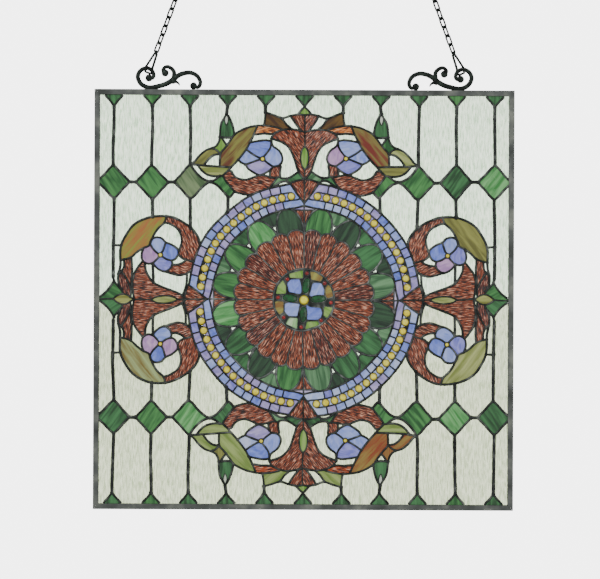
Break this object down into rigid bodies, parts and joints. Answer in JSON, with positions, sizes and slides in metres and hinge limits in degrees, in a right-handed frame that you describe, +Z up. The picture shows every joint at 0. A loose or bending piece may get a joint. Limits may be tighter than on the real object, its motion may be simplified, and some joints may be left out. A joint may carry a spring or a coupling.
{
  "type": "hanging stained glass window",
  "caption": "Square leaded glass panel in a metal came frame, with cast scroll hooks and chains, hung by two ceiling hooks in front of a window.",
  "frame": {"origin": "middle of the left ceiling hook's plate, on the face that meets the ceiling", "axes": "+Z up, +X to the right seen from the front, front of the glass faces -Y"},
  "size_m": [0.635, 0.03, 0.8082],
  "materials": {
    "came_zinc": "dull grey zinc with brushed streaks and solder at the corners",
    "solder": "dark patinated solder, rounded and slightly uneven",
    "hook_bronze": "near-black bronze patina on cast metal and wire",
    "clear_glass": "clear textured glass with a faint green tint",
    "green_glass": "streaky green art glass",
    "scroll_glass": "red-brown ripple glass with two-tone olive leaves",
    "red_glass": "deep red-brown ripple glass",
    "blue_glass": "blue and lilac opalescent glass",
    "mosaic_glass": "blue opalescent tiles and gold glass nuggets"
  },
  "bodies": {
    "root": {"frame_top": "came_zinc", "vase_top": "red_glass", "arrowhead_top": "red_glass", "frame_bottom": "came_zinc", "vase_bottom": "red_glass", "arrowhead_bottom": "red_glass", "frame_left": "came_zinc", "vase_left": "red_glass", "arrowhead_left": "red_glass", "frame_right": "came_zinc", "vase_right": "red_glass", "arrowhead_right": "red_glass", "solder_lines": "solder", "clear_glass_top_left": "clear_glass", "diamond_top_left_1": "green_glass", "diamond_top_left_2": "green_glass", "diamond_top_left_3": "green_glass", "top_scroll_left": "scroll_glass", "left_scroll_upper": "scroll_glass", "top_flower_left": "blue_glass", "left_flower_upper": "blue_glass", "mosaic_top_left": "mosaic_glass", "clear_glass_top_right": "clear_glass", "diamond_top_right_1": "green_glass", "diamond_top_right_2": "green_glass", "diamond_top_right_3": "green_glass", "top_scroll_right": "scroll_glass", "right_scroll_upper": "scroll_glass", "top_flower_right": "blue_glass", "right_flower_upper": "blue_glass", "mosaic_top_right": "mosaic_glass", "clear_glass_bottom_left": "clear_glass", "diamond_bottom_left_1": "green_glass", "diamond_bottom_left_2": "green_glass", "diamond_bottom_left_3": "green_glass", "bottom_scroll_left": "scroll_glass", "left_scroll_lower": "scroll_glass", "bottom_flower_left": "blue_glass", "left_flower_lower": "blue_glass", "mosaic_bottom_left": "mosaic_glass", "clear_glass_bottom_right": "clear_glass", "diamond_bottom_right_1": "green_glass", "diamond_bottom_right_2": "green_glass", "diamond_bottom_right_3": "green_glass", "bottom_scroll_right": "scroll_glass", "right_scroll_lower": "scroll_glass", "bottom_flower_right": "blue_glass", "right_flower_lower": "blue_glass", "mosaic_bottom_right": "mosaic_glass", "leaf_wreath": "green_glass", "petal_rosette": "red_glass", "centre_rosette": "blue_glass", "scroll_hook_left": "hook_bronze", "chain_left": "hook_bronze", "ceiling_hook_left": "hook_bronze", "scroll_hook_right": "hook_bronze", "chain_right": "hook_bronze", "ceiling_hook_right": "hook_bronze"}
  },
  "joints": []
}
